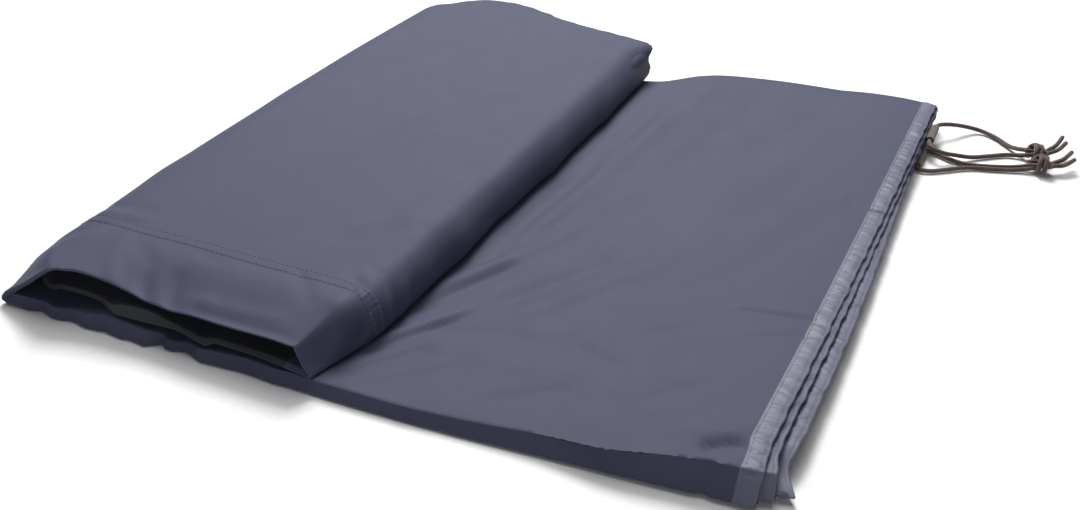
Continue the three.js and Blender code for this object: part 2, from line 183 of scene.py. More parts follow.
EDGES = table(
    "turn | front back bulge nest",
    (0, -220.5, 231, 26, 6), (0.07, -222.5, 236, 24, 5), (0.14, -224.5, 238, 20, 4),
    (0.26, -227, 237, 14, 2.4), (0.37, -229.5, 231.5, 9, 1.6), (0.44, -230.3, 222, 6, 1.3),
    (0.51, -230.5, 207, 6, 1.3), (0.62, -230.5, 203, 6, 1.3), (1, -230.5, 216, 6, 1.3),
    (1.5, -230, 219, 6, 1.3), (2, -226, 232, 6, 1.3), (2.08, -223, 247, 6, 1.3), (2.2, -222, 256, 6, 1.3),
    (2.32, -223, 254, 6, 1.3), (2.5, -225, 243, 6, 1.3), (3, -227, 225, 6, 1.3), (4, -228.5, 211, 4, 1),
    (4.7, -225.5, 208, 3, 0.8), (4.78, -219, 208, 2, 0.5), (5, -217.5, 208, 2, 0.5),
    (5.5, -214, 208, 2, 0.5), (6, -196, 208, 3, 1), (7, -188, 216, 6, 1.3))

PAD_SIDES = table(
    "| y left right",
    (-229, -231, -13), (-190, -226, -6), (-120, -220, -5), (0, -218, -3), (90, -217, -1), (235, -210, 0))

# How far the left turn leans in and is drawn out to a slanted facet, from the mouth backward

PINCH = table(
    "share | y",
    (1, -236), (0.92, -228), (0.64, -220), (0.47, -212), (0.34, -195), (0.25, -168), (0.12, -136),
    (0, -95), (0, 0))

# Height of the pad's lip along the mouth

LIP_LINE = table(
    "| x height",
    (-190, 32.2), (-173, 31.8), (-157, 30), (-137, 27.2), (-118, 24.6), (-104, 25), (-89, 25.9),
    (-70, 25.7), (-42, 26.4), (-30, 25.5), (0, 25.5))

# Steps along the roll, the hem end first

STATIONS = table(
    "from to steps",
    (0.048, 0.571, 96), (0.571, 1, 44), (1, 2, 14), (2, 3, 50), (3, 4, 14), (4, 5, 27), (5, 6, 7),
    (6, 6.999, 2))

# The right turn's profile along most of its length, and at the very back where plies bulge out

TURN_PROFILE = table(
    "part out fall back_out back_fall",
    (0, 0, 0, 0, 0), (0.14, 0.34, 0.05, 0.52, 0.02), (0.3, 0.66, 0.21, 0.96, 0.16),
    (0.5, 0.9, 0.49, 0.84, 0.44), (0.72, 1, 0.82, 1.02, 0.74), (0.87, 0.84, 0.97, 0.7, 0.97),
    (1, 0, 1, 0, 1))

# A front fold from below to its crest: its rise, and how far out it stands as a share of the bulge,
# to which the crest's own share is added

FRONT_FOLD = table(
    "part rise out crest",
    (0, 0, 0, 0), (0.14, 0.02, 0.86, 0), (0.3, 0.14, 1, 0), (0.56, 0.48, 0.6, 0.4),
    (0.8, 0.86, 0.16, 0.84), (0.93, 0.975, 0.04, 0.96), (1, 1, 0, 1))
CREST_OUT = {"narrow": 0.50, "wide": 0.76}
CREST_BUMP = {"x": 0.138, "width": 0.022, "out": 0.0024}

# The left turn's profile at the mouth, where it is drawn out into a slanted facet

SLANT_PROFILE = table(
    "part out rise",
    (0, 0, 0), (0.12, 0.58, 0), (0.22, 0.93, 0.08), (0.31, 1, 0.19), (0.56, 0.62, 0.57),
    (0.81, 0.24, 0.965), (0.9, 0.12, 1), (1, 0, 1))

# The right turn's profile where the mouth's corner makes it a flat facet

FACET_PROFILE = table(
    "part out fall",
    (0, 0, 0), (0.12, 0.05, 0.04), (0.36, 0.24, 0.4), (0.6, 0.39, 0.68), (0.78, 0.52, 0.86),
    (0.91, 0.6, 0.98), (1, 0, 1))

# Creases and swellings, laid out as on the photographed cloth. Each runs from one place to another
# on its face, with its half width and its height, which is below zero for a valley. Where step is 1,
# one side of it is up and the other down

STRIP_CREASES = table(
    "| from_x from_y to_x to_y width height",
    (-16, -203, 18.5, -152, 3.6, -1.8), (-12, -188, 19, -140, 3.4, 1.3),
    (-6, -213, 17.5, -182, 3.6, -1.4), (0, -218, 30, -190, 4, 1), (-2, -142, 22, -92, 4.4, -2),
    (3.5, -108, 40, -32, 5, 2), (6, -85, 28, -30, 5, -1.4), (6.5, -50, 15, 35, 7, -2.4),
    (18, -20, 34, 110, 9, 1.6), (8, 60, 24, 130, 7, -1.3), (40, -114, 82, -44, 6.5, -1.7),
    (56, -118, 100, -50, 8, 1.6), (44, -22, 60, 14, 4.5, -1), (22, -158, 82, -146, 7, -0.9),
    (30, -176, 90, -168, 8, 0.8), (95.1, -147, 113, -154, 4.5, -1), (72, -204, 98, -186, 5, -1.1),
    (124, -121, 158, -98, 5, -1.1), (146, -178, 168, -156, 5.5, -1.2), (184, -206, 197.5, -199, 3.8, -3),
    (176, -196, 196, -189, 5, 1), (165, -83, 201, -79, 3, -1.1), (165, -76, 199, -72, 3.4, 0.7),
    (180, -105, 202, -95, 3, -0.9), (189, 63, 208, 59, 2, -1.4), (154, 164, 199, 168, 5.5, -1.1),
    (108, 20, 140, 130, 15, 1.2), (70, 90, 90, 190, 13, -1.2), (35, 130, 52, 200, 9, 1.1),
    (135, -70, 175, 30, 12, -1))

PAD_CREASES = table(
    "step | from_x from_y to_x to_y width height",
    (0, -135, -212, -121, -236, 4, -1.2), (0, -118, -206, -106, -231, 4, -1.2),
    (0, -126, -212, -112, -236, 3.2, 0.9), (0, -93, -214, -82, -232, 4.5, 0.7),
    (0, -85, -222, -38, -224, 3.2, -1), (0, -98, -216, -50, -214, 4, 0.8),
    (0, -116.5, -183.5, -105, -184.5, 2.6, -0.6), (0, -154.5, -190, -141, -200, 4, -0.7),
    (0, -56, -179, -40, -196, 3.6, -0.7), (0, -170, -185, -164, -206, 4, 0.6),
    (0, -204, -220, -190, -190, 3.5, 1), (0, -208, -202, -195, -179, 3.5, -0.9),
    (0, -200, -166, -174, -164, 3.5, 1), (0, -206, -156, -182, -154, 4, -0.7),
    (0, -74, -136, -56, -127, 4, -0.6), (0, -90, 10, -38, 96, 12, 1), (0, -80, 50, -56, 90, 8, -1),
    (0, -150, -90, -90, 20, 18, -0.9), (0, -190, 40, -130, 150, 16, 1),
    (0, -130, 130, -90, 200, 12, -0.9), (1, -56, 216, -32, 172, 3, -1), (0, -40, 150, -20, 200, 8, 1),
    (0, -200, -70, -180, -10, 9, -0.8), (0, -24, -172, 8, -194, 4.2, -1.8),
    (0, -20, -158, 6, -166, 3.6, -1.2), (0, -22, -194, 6, -209, 4.4, 1.4),
    (0, -26, -228, -23, -200, 2.2, 1), (0, -23, -132, 6, -148, 4.4, -1.4), (0, -21, -20, 4, -52, 5, -1),
    (0, -18, 100, 6, 70, 5, -0.9), (0, -30, -100, 8, -88, 13, 1.5), (0, -28, -30, 8, -45, 12, -1.2),
    (0, -26, 45, 10, 30, 15, 1.6), (0, -30, 135, 8, 120, 13, 1.3), (0, -90, -224, -70, -232, 3.6, -0.9),
    (0, -156, -212, -144, -233, 4, 0.8))

# Along the mouth: height of the pass below it, how far the pass above that is lifted and how thick
# it is there

FRONT_WALL = table(
    "scale thick | x lift",
    (0.8, 0.2, -230, 2.2), (0.86, 0.2, -196, 2.6), (0.92, 0.24, -180, 3.4), (1.15, 0.26, -168, 3.4),
    (1.28, 0.4, -160, 1.6), (1.34, 0.62, -152, 1.8), (1.24, 1.1, -138, 2.4), (1.2, 1.06, -124, 3.4),
    (0.74, 0.72, -115, 4.4), (0.7, 0.3, -104, 5.2), (0.78, 0.34, -95, 2.6), (1, 0.5, -87, 0.6),
    (1.1, 0.24, -79, 4.6), (1.14, 0.26, -58, 4.4), (1.14, 0.46, -34, 2), (1.06, 0.5, -12, 0),
    (1, 1, 10, 0))

# Dents in the front wall: place along it, half width and how far back they go

WALL_DENTS = table(
    "| x width depth",
    (-214, 3, 1), (-199, 5, 2.2), (-188, 2.6, -1.2), (-176, 2.6, 2.4), (-164, 3, -0.8), (-153, 2.8, 1),
    (-142, 2.8, -0.9), (-126, 3.2, -1.6), (-117, 4, 4), (-101, 7, 3.6), (-87, 3, -1), (-62, 10, 1),
    (-42, 4, -0.6), (187, 2.8, 1.4))

HEM = {"width": 0.0105, "thick": 0.0011, "row_in": 0.0088, "row_out": 0.0016, "across": 0.452,
       "step": 0.0012, "inner_steps": 40, "seen": (1, 2, 5)}
HEM_PROFILE = table(
    "thick | depth",
    (0.30, 0), (0.78, 0.4), (0.96, 1.0), (0.70, 1.6), (1.0, 2.2), (1.10, 3.6), (1.14, 5.2), (1.10, 6.8),
    (1.0, 8.2), (0.70, 8.8), (0.96, 9.4), (0.94, 10.1), (0.45, 10.5))
PUCKER = {"apart": (0.0014, 0.0046), "slant": (-0.5, 0.5), "width": (0.0005, 0.0013),
          "height": (-0.0003, 0.0009), "reach": 0.010, "fade": 1.15}
SEAM = {"width": 0.0082, "rise": 0.00014, "left": (-0.1866, -0.1738), "right": (-0.0260, -0.1768),
        "from": 1.10, "to": 3.90, "steps": 300, "row": 0.0026, "sag": 0.0045, "deep": 0.0006}
SEAM_PROFILE = table(
    "share rise",
    (-1.0, -0.4), (-0.92, 0.7), (-0.70, 0.80), (-0.5, 1.0), (-0.2, 1.1),
    (0.2, 1.1), (0.5, 1.0), (0.70, 0.80), (0.92, 0.7), (1.0, -0.4))
STITCH = {"long": 0.0022, "pitch": 0.0031, "thick": 0.00034}
STITCH_ARC = table("share lift", (0.0, -0.3), (0.15, 0.5), (0.5, 0.9), (0.85, 0.5), (1.0, -0.3))

THREAD_STEP = 0.0006
RIB_STEP = 0.0008
BRAID = {"strands": 6, "pitch": 0.0021}
RIBBON = {"width": 0.022, "thick": 0.0008, "overlap": 0.008, "seat": 0.00045, "apart": 0.0003}
BORE = CORD / 2 + 0.0005
TABS = {
    "upper": {"y": 0.194, "loop_at": 0.0028, "leg_end": 0.0002},
    "lower": {"y": 0.1665, "loop_at": 0.0012, "leg_end": -0.0006},
}


# Small helpers

def ease(value, low, high):
    share = np.clip((np.asarray(value, float) - low) / (high - low), 0, 1)
    return share * share * (3 - 2 * share)


def mix(low, high, share):
    return low + (high - low) * share


def zone(value, name):
    """From 0 before a zone to 1 past it."""
    return ease(value, *ZONES[name])


def fade(value, name):
    return 1 - zone(value, name)


def column(rows, name):
    return np.array([row[name] for row in rows], float)


def table_curve(rows, key, name):
    """A smooth curve through one column of a table that never overshoots its rows."""
    xs, ys = column(rows, key), column(rows, name)
    steps = np.diff(ys) / np.diff(xs)
    slopes = np.concatenate(([steps[0]], np.zeros(len(xs) - 2), [steps[-1]]))
    for i in range(1, len(xs) - 1):
        before, after = steps[i - 1], steps[i]
        if before * after > 0:
            slopes[i] = 2 * before * after / (before + after)

    def at(value):
        value = np.clip(np.asarray(value, float), xs[0], xs[-1])
        i = np.clip(np.searchsorted(xs, value, side="right") - 1, 0, len(xs) - 2)
        width = xs[i + 1] - xs[i]
        t = (value - xs[i]) / width
        return ((2 * t**3 - 3 * t**2 + 1) * ys[i] + (t**3 - 2 * t**2 + t) * width * slopes[i]
                + (3 * t**2 - 2 * t**3) * ys[i + 1] + (t**3 - t**2) * width * slopes[i + 1])
    return at


def table_curves(rows, key):
    """A curve along the key column for each other column of a table, in their order."""
    return [table_curve(rows, key, name) for name in rows[0] if name != key]


def nearest(rows, name, value):
    """Number of the row whose value in a column is nearest."""
    return int(np.argmin(np.abs(column(rows, name) - value)))


def run_along(points):
    """Distance along a line of points, at each of them."""
    return np.concatenate(([0], np.cumsum(np.linalg.norm(np.diff(points, axis=0), axis=1))))


def at_runs(runs, run, values):
    """Values given at each point of a line, read at some distances along it."""
    return np.stack([np.interp(runs, run, values[:, k]) for k in range(3)], axis=1)


def crease_height(creases, x, y):
    """Height of a set of creases at each place: each fades out past its ends."""
    total = np.zeros(np.broadcast(x, y).shape)
    for crease in creases:
        start = np.array((crease["from_x"], crease["from_y"]))
        end = np.array((crease["to_x"], crease["to_y"]))
        length = np.linalg.norm(end - start)
        way = (end - start) / length
        along = (x - start[0]) * way[0] + (y - start[1]) * way[1]
        aside = (y - start[1]) * way[0] - (x - start[0]) * way[1]
        past = np.maximum(np.maximum(-along, along - length), 0) / (0.22 * length)
        q = aside / crease["width"]
        profile = q * np.exp(0.5 - q**2) if crease.get("step") else np.exp(-q**2)
        total += crease["height"] * profile * np.exp(-past**2)
    return total


def smooth_route(points, count):
    """Evenly spaced points on a smooth curve through a few places."""
    places = [np.array(p, float) for p in points]
    ends = [2 * places[0] - places[1]] + places + [2 * places[-1] - places[-2]]
    fine = []
    for a, b, c, d in zip(ends, ends[1:], ends[2:], ends[3:]):
        for t in np.linspace(0, 1, 24, endpoint=False):
            fine.append(0.5 * (2 * b + (c - a) * t + (2 * a - 5 * b + 4 * c - d) * t**2
                               + (3 * b - 3 * c + d - a) * t**3))
    fine.append(places[-1])
    fine = np.array(fine)
    run = run_along(fine)
    return at_runs(np.linspace(0, run[-1], count), run, fine)


def unit(ways):
    return ways / np.maximum(np.linalg.norm(ways, axis=-1, keepdims=True), 1e-9)


def closed_faces(count, across, kept=None, inward=False):
    """Faces of a closed sheet with two sides: count stations, each across points wide on its first
    side and then, on its second, with the same points or with those that are kept."""
    kept = kept or range(across)
    wide, end, last = across + len(kept), across - 1, count - 1
    second = {k: across + j for j, k in enumerate(kept)}
    pairs = list(zip(kept, kept[1:]))

    def at(i, side, k):
        return i * wide + (second[k] if side else k)

    faces = []
    for i in range(last):
        faces += [(at(i, 0, k), at(i, 0, k + 1), at(i + 1, 0, k + 1), at(i + 1, 0, k))
                  for k in range(end)]
        faces += [(at(i, 1, n), at(i, 1, k), at(i + 1, 1, k), at(i + 1, 1, n)) for k, n in pairs]
        faces.append((at(i, 1, 0), at(i, 0, 0), at(i + 1, 0, 0), at(i + 1, 1, 0)))
        faces.append((at(i, 0, end), at(i, 1, end), at(i + 1, 1, end), at(i + 1, 0, end)))
    for k, n in pairs:
        between = range(k, n + 1)
        faces.append((*(at(0, 0, j) for j in reversed(between)), at(0, 1, k), at(0, 1, n)))
        faces.append((*(at(last, 0, j) for j in between), at(last, 1, n), at(last, 1, k)))
    return [face[:1] + face[:0:-1] for face in faces] if inward else faces


def in_scene(name, data):
    obj = bpy.data.objects.new(name, data)
    bpy.context.scene.collection.objects.link(obj)
    return obj


def new_object(name, vertices, faces, materials, uvs, slots=None, sharp=50):
    """A smooth object, with edges sharper than an angle kept sharp."""
    mesh = bpy.data.meshes.new(name)
    mesh.from_pydata([tuple(v) for v in np.asarray(vertices).reshape(-1, 3).tolist()], [], faces)
    for material in materials:
        mesh.materials.append(material)
    mesh.polygons.foreach_set("use_smooth", [True] * len(mesh.polygons))
    if slots is not None:
        mesh.polygons.foreach_set("material_index", slots)
    layer = mesh.uv_layers.new(name="flat")
    corners = np.zeros(len(mesh.loops), np.int32)
    mesh.loops.foreach_get("vertex_index", corners)
    layer.data.foreach_set("uv", np.asarray(uvs, np.float32).reshape(-1, 2)[corners].ravel())
    mesh.set_sharp_from_angle(angle=math.radians(sharp))
    mesh.update()
    return in_scene(name, mesh)


def tube_parts(points, radius, sides, first=0, taper=1.0):
    """Rings, faces and flat coordinates of a tube along points, closed at both ends."""
    points = np.asarray(points, float)
    ways = unit(np.gradient(points, axis=0))
    side = np.cross(ways[0], (0.0, 0.0, 1.0))
    if np.linalg.norm(side) < 1e-6:
        side = np.array((1.0, 0.0, 0.0))
    run = run_along(points)
    vertices, uvs, faces = [], [], []
    angles = np.linspace(0, 2 * math.pi, sides, endpoint=False)
    for i, (point, way) in enumerate(zip(points, ways)):
        side = unit(side - way * np.dot(side, way))
        up = np.cross(way, side)
        size = radius * (taper if i in (0, len(points) - 1) else 1.0)
        for k, angle in enumerate(angles):
            vertices.append(point + size * (math.cos(angle) * side + math.sin(angle) * up))
            uvs.append((k / sides, run[i]))
    for i in range(len(points) - 1):
        for k in range(sides):
            a, b = first + i * sides + k, first + i * sides + (k + 1) % sides
            faces.append((a, b, b + sides, a + sides))
    last = first + (len(points) - 1) * sides
    faces.append(tuple(first + k for k in reversed(range(sides))))
    faces.append(tuple(last + k for k in range(sides)))
    return vertices, faces, uvs


def joined_tubes(name, tubes, materials, sides):
    """One object of many tubes, whose ends are a little thinner."""
    vertices, faces, uvs = [], [], []
    for points, radius in tubes:
        v, f, u = tube_parts(points, radius, sides, first=len(vertices), taper=0.72)
        vertices += v
        faces += f
        uvs += u
    return new_object(name, vertices, faces, materials, uvs=uvs)


# Materials

class Surface:
    """A material, with the few kinds of node that the looks here are made of."""

    def __init__(self, name, roughness, specular, sheen=0.0, sheen_tint=(1, 1, 1)):
        self.material = bpy.data.materials.new(name)
        self.material.use_nodes = True
        self.nodes = self.material.node_tree.nodes
        self.shader = self.nodes["Principled BSDF"]
        self.put(self.shader, {"Roughness": roughness, "Specular IOR Level": specular,
                               "Sheen Weight": sheen, "Sheen Roughness": 0.45,
                               "Sheen Tint": (*sheen_tint, 1)})
        self.place = self.nodes.new("ShaderNodeTexCoord").outputs

    def put(self, node, inputs):
        """Gives each input of a node a value or a link."""
        for key, value in inputs.items():
            if isinstance(value, bpy.types.NodeSocket):
                self.material.node_tree.links.new(value, node.inputs[key])
            else:
                node.inputs[key].default_value = value
        return node.outputs

    def add(self, kind, inputs, **settings):
        node = self.nodes.new("ShaderNode" + kind)
        for key, value in settings.items():
            setattr(node, key, value)
        return self.put(node, inputs)

    def flat(self):
        """The cloth's own coordinates: metres along it and across it."""
        return self.add("SeparateXYZ", {0: self.place["UV"]})

    def math(self, operation, *values):
        return self.add("Math", dict(enumerate(values)), operation=operation)[0]

    def waves(self, value, length):
        return self.math("SINE", self.math("MULTIPLY", value, 2 * math.pi / length))

    def noise(self, **inputs):
        return self.add("TexNoise", {"Vector": self.place["Object"], **inputs})["Fac"]

    def spread(self, value, low, high, to_low=0.0, to_high=1.0):
        return self.add("MapRange", {"Value": value, "From Min": low, "From Max": high,
                                     "To Min": to_low, "To Max": to_high})["Result"]

    def bump(self, height, strength, distance, **below):
        inputs = {"Strength": strength, "Distance": distance, "Height": height, **below}
        return self.add("Bump", inputs)["Normal"]

    def colour(self, share, dark, light):
        mixed = self.add("Mix", {"Factor": share, 6: (*dark, 1), 7: (*light, 1)}, data_type="RGBA")
        self.put(self.shader, {"Base Color": mixed[2]})


def nylon(name, dark, light, roughness, crinkle, specular):
    """Coated plain-woven nylon: soft patches of tone, a fine weave and a crinkled, satin coating."""
    look = Surface(name, roughness, specular, 0.08, (0.85, 0.87, 1.0))
    patches = look.noise(Scale=14.0, Detail=4.0, Roughness=0.55)
    look.colour(look.spread(patches, 0.32, 0.68), dark, light)
    gloss = look.noise(Scale=55.0, Detail=3.0)
    rough = look.spread(gloss, 0.3, 0.7, roughness - 0.02, roughness + 0.02)
    flat = look.flat()
    weave = look.math("MULTIPLY", *(look.waves(flat[axis], THREAD_STEP) for axis in (0, 1)))
    normal = look.bump(weave, 0.10, 0.00004)
    wrinkles = look.noise(Scale=95.0, Detail=3.0, Distortion=0.6)
    normal = look.bump(wrinkles, 1.0, 0.00006 * crinkle, Normal=normal)
    swells = look.noise(Scale=24.0, Detail=2.0, Distortion=0.8)
    normal = look.bump(swells, 1.0, 0.00010 * crinkle, Normal=normal)
    look.put(look.shader, {"Roughness": rough, "Normal": normal})
    return look.material


def braid(name, dark, light):
    """Braided cover of an elastic cord: two families of strands crossing round the tube."""
    look = Surface(name, 0.72, 0.35, 0.25, (1.0, 0.92, 0.86))
    flat = look.flat()
    around = look.math("MULTIPLY", flat[0], 2 * math.pi * BRAID["strands"])
    along = look.math("MULTIPLY", flat[1], 2 * math.pi / BRAID["pitch"])
    families = [look.math("SINE", look.math(way, around, along)) for way in ("ADD", "SUBTRACT")]
    height = look.math("MULTIPLY_ADD", look.math("MULTIPLY", *families), 0.5, 0.5)
    # Colour follows the strands' height, times random tone: painted shade in the grooves between strands
    share = look.math("MULTIPLY", height, look.noise(Scale=260.0, Detail=2.0))
    look.colour(look.math("MULTIPLY", share, 1.9), dark, light)
    look.put(look.shader, {"Normal": look.bump(height, 0.9, 0.00016)})
    return look.material


def ribbon(name, dark, light):
    """Woven grosgrain ribbon: ribs across its length."""
    look = Surface(name, 0.8, 0.25, 0.2, (1.0, 0.93, 0.85))
    ribs = look.waves(look.flat()[0], RIB_STEP)
    # Colour follows the ribs: painted shade in the grooves between them
    look.colour(look.math("MULTIPLY_ADD", ribs, 0.4, 0.5), dark, light)
    look.put(look.shader, {"Normal": look.bump(ribs, 0.8, 0.00012)})
    return look.material


def plain_surface(name, colour, roughness):
    look = Surface(name, roughness, 0.3)
    look.colour(look.noise(Scale=300.0, Detail=2.0), tuple(c * 0.93 for c in colour), colour)
    return look.material


nylon_face = nylon("nylon_face", (0.0500, 0.0534, 0.0925), (0.0524, 0.0558, 0.0955), 0.66, 0.8, 0.15)
# Near-black, greenish-grey nylon for the plies inside the mouth: its darkness is painted shade of the
# roll's recess
nylon_mouth_shade = nylon("nylon_mouth_shade", (0.022, 0.024, 0.026), (0.034, 0.037, 0.039), 0.68, 3.5, 0.18)
# The hem's base colour is lighter than the face's: partly the doubled cloth's own tone, partly painted
# sheen
nylon_hem = nylon("nylon_hem", (0.083, 0.086, 0.132), (0.112, 0.116, 0.166), 0.52, 1.2, 0.3)
thread = plain_surface("thread", (0.135, 0.14, 0.195), 0.6)
cord_braid = braid("cord_braid", (0.030, 0.017, 0.015), (0.130, 0.088, 0.076))
cord_core = plain_surface("cord_core", (0.30, 0.17, 0.15), 0.8)
# The tabs' own brown, darkened further as painted shade
tab_ribbon = ribbon("tab_ribbon", (0.080, 0.060, 0.050), (0.170, 0.135, 0.112))
floor_white = plain_surface("floor_white", (0.80, 0.80, 0.81), 0.9)


# The roll's outer face, as in the solids, with the mouth's flat facet

side_left, side_right = table_curves(PAD_SIDES, "y")
edge_front, edge_back, edge_bulge, edge_nest = table_curves(EDGES, "turn")
facet_out, facet_fall = table_curves(FACET_PROFILE, "part")
turn_out, turn_fall, back_out, back_fall = table_curves(TURN_PROFILE, "part")
slant_out, slant_rise = table_curves(SLANT_PROFILE, "part")
wall_scale, wall_thick, wall_lift = table_curves(FRONT_WALL, "x")
pinch_share, = table_curves(PINCH, "y")
lip_height, = table_curves(LIP_LINE, "x")
fold_rise, fold_out, fold_crest = table_curves(FRONT_FOLD, "part")


def roll_face(turn, y):
    y = np.asarray(y, float)
    mouth = fade(y, "mouth")
    pinch = pinch_share(y)
    facet = fade(y, "facet")
    lean = LEAN * pinch
    left_end = side_left(y) + LEFT_TURN
    right_start = side_right(y) - RIGHT_TURN
    top_left = mix(PAD_HEIGHT, lip_height(left_end + lean), mouth)
    top_right = mix(PAD_HEIGHT, lip_height(right_start), mouth)
    lower = STACK + PASS_GAP
    upper = top_right - STACK - PASS_GAP
    inset = mix(INNER_INSET["back"], INNER_INSET["front"], pinch)
    inner_left = left_end - LEFT_TURN + inset + INNER_LEFT_TURN
    stretch = min(int(turn), 6)
    part = turn - stretch
    swing = (part - 0.5) * math.pi

    if stretch == 0:
        return mix(HEM_END, left_end, part), np.zeros_like(y)
    if stretch == 1:
        height = mix(0.5 + 0.5 * math.sin(swing), slant_rise(part), pinch)
        out = mix(math.cos(swing), slant_out(part), pinch)
        return left_end - LEFT_TURN * out + lean * height, top_left * height
    if stretch == 2:
        x = mix(left_end + lean, right_start, part)
        return x, mix(PAD_HEIGHT, lip_height(x), mouth)
    if stretch == 3:
        boxy = zone(y, "boxy")
        out = mix(mix(turn_out(part), back_out(part), boxy), facet_out(part), facet)
        fall = mix(mix(turn_fall(part), back_fall(part), boxy), facet_fall(part), facet)
        return right_start + RIGHT_TURN * out, mix(top_right, lower, fall)
    if stretch == 4:
        x = mix(right_start, inner_left, part)
        lift = wall_lift(x) * fade(y, "wall_lift")
        return x, lower + lift
    if stretch == 5:
        climb = 0.5 + 0.5 * math.sin(swing)
        return inner_left - INNER_LEFT_TURN * math.cos(swing), mix(lower, upper, climb)
    return mix(inner_left, right_start + RIGHT_TURN - INNER_END, part), upper


def spread_at(x, y):
    """How far the loose stack stands open at a place on the bottom stretch."""
    to_front = zone(-y, "edges")
    to_back = zone(y, "edges")
    at_hem = mix(mix(SPREAD["middle"], SPREAD["front"], to_front), SPREAD["back"], to_back)
    rise = zone(x, "spread") ** SPREAD["curve"]
    back_fold = SPREAD["near_pad"] * to_back * zone(x, "back_rise")
    return np.maximum(at_hem * rise, back_fold)


def ply_height(run, x, y):
    """Height of a ply's middle on the bottom stretch, with the creases of the strip on top."""
    air = mix(run["air_front"], run["air_back"], zone(y, "air"))
    share = 1.0 if run["level"] == 5 else (run["level"] / 5) ** 1.6 * zone(x, "at_hem")
    near_front = fade(y, "wall")
    taller = 1 + (wall_scale(x) - 1) * near_front * fade(x, "under_roll")
    relief = np.maximum(crease_height(STRIP_CREASES, x, y), DEEPEST) * zone(x, "strip_begins")
    inside = fade(x, "by_hem") * zone(y, "strip_front") * fade(y, "strip_back")
    sunk = 1 - INNER_SINK * inside * (0 < run["level"] < 5)
    return CLOTH / 2 + PLY_STEP * run["level"] * taller * sunk + air * spread_at(x, y) + relief * share


def wall_dent(x):
    """How far the front wall below the mouth stands back at one place along it."""
    return sum(dent["depth"] * math.exp(-((x - dent["x"]) / dent["width"]) ** 2) for dent in WALL_DENTS)


def rolled_height(run, turn, y):
    """Depth of a ply's middle below the roll's outer face: by the lip the inner plies lie closer."""
    between = 0 < run["level"] < 5
    behind_lip = zone(y, "roll_front")
    inside = behind_lip * fade(y, "roll_back")
    by_lip = (1 - behind_lip) * fade(turn, "turn_mouth")
    level = run["level"] + (2.5 - run["level"]) * 0.5 * by_lip * between
    return CLOTH / 2 + PLY_STEP * level * thinning(turn, y) + ROLL_SLACK * inside * between


def ragged(index, turn):
    """How far a ply's back edge stands in at one turn, where the roll's plies aren't even."""
    in_top = zone(turn, "turn_top") * fade(turn, "turn_top_end")
    key = BACK_FOLDS[index]
    wave = math.sin(19.0 * turn + 1.9 * key) + 0.8 * math.sin(61.0 * turn + 3.1 * key)
    peek = PEEK_OUT * zone(turn, "turn_peek") * fade(turn, "turn_peek_end") * (key == 1)
    return in_top * (0.0005 * wave + RAGGED[key] * zone(turn, "turn_ragged") + peek)


def hem_past(run, y):
    flare = run["flare"] * fade(y, "flare")
    return mix(run["hem_front"], run["hem_back"], zone(y, "hem")) + flare


def thinning(turn, y):
    """How flat the stack is pressed in the roll, by the mouth."""
    y = np.asarray(y, float)
    lip = fade(y, "lip")
    foot = 1 - (1 - FOOT_THIN) * lip * zone(turn, "turn_foot")
    pressed_lip = (1 - (1 - LIP["thin"]) * lip * zone(turn, "turn_lip")) * foot
    if turn < ZONES["turn_inner"][0]:
        return pressed_lip
    pressed = wall_thick(roll_face(turn, ZONES["lip"][0])[0]) if turn < 5 else LIP["flap"]
    inner = fade(y, "flap")
    return mix(pressed_lip, mix(1, pressed, inner), zone(turn, "turn_inner"))


# Points across the strip: run, share of the way from front to back, or the place in a fold

def across_points(run_steps, front_steps, back_steps):
    rows = []
    for index in range(len(PLY_RUNS)):
        backward = index % 2 == 1
        rows += [(index, share, -1.0) for share in run_steps(index)[::1 if backward else -1]]
        if index < len(PLY_RUNS) - 1:
            count = back_steps if backward else front_steps(index)
            rows += [(index, float(backward), part) for part in np.linspace(0, 1, count + 2)[1:-1]]
    return rows


SPARSE = np.array((0, 0.04, 0.12, 0.26, 0.42, 0.60, 0.80, 0.93, 1.0))
DENSE_FRONT = {0: {"reach": 0.18, "share": 0.41}, 1: {"reach": 0.34, "share": 0.64},
               3: {"reach": 0.19, "share": 0.42}}


def ply_shares(index):
    """Shares from 0 to 1 across a ply, with more than their part of the steps near the front."""
    if index not in DENSE_FRONT:
        return SPARSE
    steps, dense = PLY_RUNS[index]["steps"], DENSE_FRONT[index]
    first = int(steps * dense["share"])
    near = np.linspace(0, dense["reach"], first, endpoint=False)
    return np.concatenate((near, np.linspace(near[-1] + dense["reach"] / first, 1, steps - first)))


